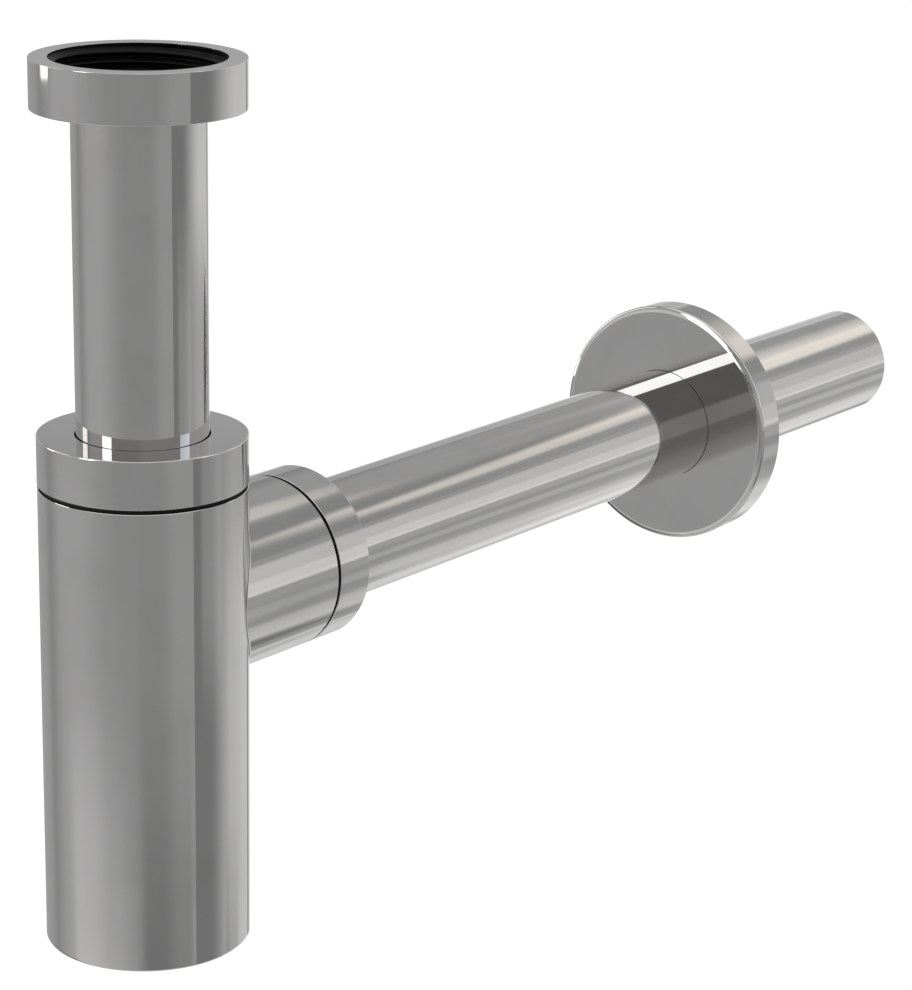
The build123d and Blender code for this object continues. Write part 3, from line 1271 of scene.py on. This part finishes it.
@dataclass
class WallOutlet:
    """The wall pipe, and the hollow rosette with its grip ring."""

    tube_bore_r: float = 15.0
    pipe_end_round: float = 0.3
    hole_clearance: float = 0.10
    face_wall: float = 1.5
    rim_wall: float = 1.5
    bevel_width: float = 1.4
    bevel_depth: float = 0.42
    bevel_round: float = 2.8
    face_round: float = 0.9
    inner_round: float = 0.6
    hub_wall: float = 4.2
    hub_length: float = 7.0
    groove_r: float = 18.5
    groove_start: float = 2.6
    groove_end: float = 5.0

    def rosette(self) -> TurnedPiece:
        """The hollow rosette, with a shallow bevel round its face and the ring's groove in its hub."""
        face, back = node_span("wall_rosette", TurnAxis.OUT)
        outer_r = node_radius("wall_rosette")
        rim_bore_r = outer_r - self.rim_wall
        hole_r = node_radius("outlet_pipe") + self.hole_clearance
        hub_r = hole_r + self.hub_wall
        corners = (
            Corner(hole_r, face, 0.03),
            Corner(outer_r - self.bevel_width, face, self.bevel_round),
            Corner(outer_r, face + self.bevel_depth, self.face_round),
            Corner(outer_r, back, 0.2),
            Corner(rim_bore_r, back, 0.2),
            Corner(rim_bore_r, face + self.face_wall, self.inner_round),
            Corner(hub_r, face + self.face_wall, self.inner_round),
            Corner(hub_r, face + self.hub_length, 0.3),
            Corner(hole_r, face + self.hub_length, 0.2),
            Corner(hole_r, face + self.groove_end, 0.1),
            Corner(self.groove_r, face + self.groove_end, 0.1),
            Corner(self.groove_r, face + self.groove_start, 0.1),
            Corner(hole_r, face + self.groove_start, 0.1),
        )
        # The rosette takes the darker chrome: painted shade.
        return TurnedPiece(
            "wall_rosette", "rosette", Slot.CHROME, TurnAxis.OUT, HalfSection(corners), SHADED_ROSETTE_CHROME,
            segments=240,
        )

    def pipe(self) -> TurnedPiece:
        """The plain wall pipe."""
        start, end = node_span("outlet_pipe", TurnAxis.OUT)
        tube_r = node_radius("outlet_pipe")
        corners = (
            Corner(self.tube_bore_r, start, 0.15),
            Corner(tube_r, start, self.pipe_end_round),
            Corner(tube_r, end, self.pipe_end_round),
            Corner(self.tube_bore_r, end, 0.15),
        )
        return TurnedPiece(
            "outlet_pipe", "wall_pipe", Slot.CHROME, TurnAxis.OUT, HalfSection(corners), DRAWN_CHROME,
            segments=192,
        )

    def make(self) -> None:
        """Turn the pipe and the rosette, and dress the rosette's ring."""
        self.pipe().make()
        self.rosette().make()
        dress_node("rosette_grip_ring", RUBBER, TurnAxis.OUT)


@dataclass(frozen=True)
class Panel:
    """A light or dark part of the studio as the trap sees it, in degrees, with soft sides."""

    azimuth: float
    half_width: float
    low: float
    high: float
    strength: float
    before: float = 6.0
    after: float = 6.0
    edge: float = 4.0
    tint: tuple[float, float, float] = (1.0, 1.0, 1.0)


@dataclass
class Studio:
    """The studio round the trap: a grey room with its panels, and a pale floor far below."""

    panels: Sequence[Panel]
    room: float = 0.40
    floor_height: float = -1.5
    floor_radius: float = 1.35
    floor_fade: float = 0.40
    floor_sides: int = 96
    floor_dark: tuple[float, float, float, float] = (0.80, 0.80, 0.80, 1)
    floor_light: tuple[float, float, float, float] = (0.86, 0.86, 0.855, 1)
    floor_roughness: float = 0.85

    def make_world(self) -> None:
        """Paint the room and its panels by direction, the same for every kind of ray."""
        world = bpy.data.worlds.new("studio")
        bpy.context.scene.world = world
        world.use_nodes = True
        nodes = Nodes(world.node_tree)
        x, y, z = nodes.split(nodes.add("ShaderNodeTexCoord").outputs["Generated"])
        azimuth = nodes.math("DEGREES", nodes.math("ARCTAN2", y, x))
        elevation = nodes.math("DEGREES", nodes.math("ARCSINE", z))
        light: object = (self.room,) * 3
        for panel in self.panels:
            values = {
                "Azimuth": azimuth,
                "Elevation": elevation,
                "Middle": panel.azimuth,
                "Half width": panel.half_width,
                "Before": panel.before,
                "After": panel.after,
                "Low": panel.low,
                "High": panel.high,
                "Edge": panel.edge,
            }
            mask = nodes.group(Effects.studio_panel(), values).outputs["Mask"]
            glow = nodes.vector_math("SCALE", [panel.strength * part for part in panel.tint])
            nodes.feed(glow.inputs["Scale"], mask)
            light = nodes.vector_math("ADD", light, glow.outputs[0]).outputs[0]
        nodes.feed(world.node_tree.nodes["Background"].inputs["Color"], light)
        log.info("studio with %d panels", len(self.panels))

    def make_floor(self) -> None:
        """Lay the pale floor, which fades out at its rim."""
        mesh = bpy.data.meshes.new("studio_floor")
        angles = [FULL_TURN * step / self.floor_sides for step in range(self.floor_sides)]
        rim = [
            (self.floor_radius * math.cos(angle), self.floor_radius * math.sin(angle), self.floor_height)
            for angle in angles
        ]
        mesh.from_pydata(rim, [], [tuple(range(self.floor_sides))])
        floor = bpy.data.objects.new("studio_floor", mesh)
        bpy.context.scene.collection.objects.link(floor)
        material = bpy.data.materials.new("pale_floor")
        material.use_nodes = True
        mesh.materials.append(material)
        nodes = Nodes(material.node_tree)
        shader = material.node_tree.nodes["Principled BSDF"]
        here = nodes.add("ShaderNodeTexCoord").outputs["Object"]
        flat = nodes.vector_math("MULTIPLY", here, (1, 1, 0)).outputs[0]
        far = nodes.vector_math("LENGTH", flat).outputs["Value"]
        grain = nodes.noise(here, scale=14.0, detail=6.0)
        nodes.feed(shader.inputs["Base Color"], nodes.blend(grain, self.floor_dark, self.floor_light))
        solid_r = self.floor_radius - self.floor_fade
        nodes.feed(shader.inputs["Alpha"], nodes.step(far, self.floor_radius, solid_r))
        shader.inputs["Roughness"].default_value = self.floor_roughness

    def make(self) -> None:
        """Build the studio."""
        self.make_world()
        self.make_floor()


@dataclass
class Camera:
    """The photograph's camera, which looks down on the trap from the bottle's side."""

    place: tuple[float, float, float] = (-0.523138, -0.501773, 0.119782)
    heading: float = 0.9101
    dip: float = 0.2940
    roll: float = -0.0181
    lens: float = 113.94
    sensor: float = 36.0
    nearest: float = 0.01
    farthest: float = 20.0

    def make(self) -> None:
        """Add the camera and make it the scene's own."""
        data = bpy.data.cameras.new("photo_camera")
        data.lens = self.lens
        data.sensor_width = self.sensor
        data.clip_start = self.nearest
        data.clip_end = self.farthest
        camera = bpy.data.objects.new("photo_camera", data)
        bpy.context.scene.collection.objects.link(camera)
        level = Vector((math.cos(self.heading), -math.sin(self.heading), 0))
        ahead = Vector((math.sin(self.heading), math.cos(self.heading), 0)) * math.cos(self.dip)
        ahead.z = -math.sin(self.dip)
        down = ahead.cross(level)
        right = math.cos(self.roll) * level + math.sin(self.roll) * down
        up = math.sin(self.roll) * level - math.cos(self.roll) * down
        turned = Matrix((right, up, -ahead)).transposed().to_4x4()
        camera.matrix_world = Matrix.Translation(self.place) @ turned
        bpy.context.scene.camera = camera


FULL_CIRCLE = 180.0
WARM = (1.0, 0.90, 0.80)
COOL = (0.80, 0.89, 1.035)
CREAM = (1.0, 0.965, 0.90)

# Overlapping panels add up, and one with a strength below 0 darkens the room. The first stands
# behind the trap as the photograph's camera sees it.
PANELS = (
    Panel(37.7, 9.8, -25.5, -7.0, 0.64, before=10, after=9, edge=6),
    Panel(0, 14, -90, -6, 0.50, before=46, after=2),
    Panel(37, 26, -90, -38, 0.20, before=12, after=40, edge=8),
    Panel(27, 11, -60, -31, 0.38, before=2, after=12, edge=3),
    Panel(104, 34, -60, -32, -0.33, before=8, after=8, edge=5),
    Panel(75, 9, -30, -6, 0.13, before=12, after=20, edge=6),
    Panel(134, 9, -60, -11, 0.165, before=28, after=62, edge=5),
    Panel(148, 14, -40, -23, 0.08, before=12, after=30, edge=4),
    Panel(-90, 8.6, -60, -6, 0.08, before=22, after=0.5),
    Panel(-73, 8, -60, -6, -0.11, before=0.5, after=26),
    Panel(165, 25, -90, -28, 0.20, before=10, after=30, edge=9),
    Panel(138, 12, -4, 14, 0.25, before=10, after=8, edge=8),
    Panel(-112, 22, -90, -28, -0.15, before=14, after=8, edge=9),
    Panel(-160, 10, -60, -20, 0.03, before=14, after=12, edge=5),
    Panel(-16, 6, -26, -19.5, -0.07, before=8, after=6, edge=3),
    Panel(-4, 6, -16.4, -14.0, -0.29, before=50, after=11, edge=2.8),
    Panel(-58, 9, -18.5, -14, 0.13, before=8, after=10, edge=3),
    Panel(0, FULL_CIRCLE, -4.5, 15, 0.17, edge=3),
    Panel(-10, 40, -4.5, 16.5, 0.26, before=14, after=14, edge=3),
    Panel(-10, 40, -4.5, 4, 0.16, before=14, after=14, edge=2.5),
    Panel(-35, 8, 18, 21, 0.10, before=6, after=6, edge=3),
    Panel(82, 24, 13, 20, 0.22, before=10, after=4, edge=4),
    Panel(-20, 8, 20, 27, 0.11, before=10, after=14, edge=6),
    Panel(16, 16, 18, 45, 0.13, before=16, after=10, edge=6),
    Panel(-168, 24, 17, 45, -0.08, before=8, after=8, edge=4),
    Panel(-14, 12, 31.5, 34, 0.62, before=10, after=26, edge=4, tint=WARM),
    Panel(-10, 5, 31, 34, 0.30, before=8, after=8, edge=4, tint=WARM),
    Panel(6, 7, 44, 47, 0.38, before=8, after=8, edge=2.5, tint=WARM),
    Panel(-26, 9, -31, -26, -0.20, before=6, after=6, edge=4),
    Panel(-9, 8, -60, -44, -0.40, before=5, after=9, edge=2.5),
    Panel(-13, 4, -60, -42.5, -0.20, before=4, after=6, edge=2),
    Panel(14, 4, -60, -43, -0.30, before=4, after=4, edge=1.5),
    Panel(4, 12, -37, -34, 0.25, before=8, after=8, edge=4),
    Panel(110.8, 4.6, -9.30, 11, 2.6, before=7, after=0.8, edge=0.03, tint=CREAM),
    Panel(106.5, 6.8, 12, 45, 2.2, before=1, after=1, edge=2, tint=CREAM),
    Panel(160.7, 7.3, -8.9, 15.2, 3.3, before=1, after=1, edge=0.1),
    Panel(159.5, 8.5, 15.2, 45, 3.3, before=1, after=1, edge=0.1),
    Panel(-59, 8.5, 12, 45, 1.20, before=3, after=3, edge=2, tint=COOL),
    Panel(0, FULL_CIRCLE, 58, 91, 0.7, edge=12),
)


def main() -> None:
    """Build the camera, the trap's sub-assemblies and the studio."""
    bpy.context.view_layer.update()
    bpy.context.scene.view_settings.view_transform = "Standard"
    Camera().make()
    InletUnion().make()
    CompressionJoint("head", "neck_seat", TurnAxis.UP, nut_face=3.5).make("head_seal")
    CompressionJoint("outlet", "branch_seat", TurnAxis.OUT, nut_face=3.0).make("bottle")
    Bottle().make()
    WallOutlet().make()
    Studio(PANELS).make()


if __name__ == "__main__":
    logging.basicConfig(level=logging.INFO, format="%(message)s")
    main()
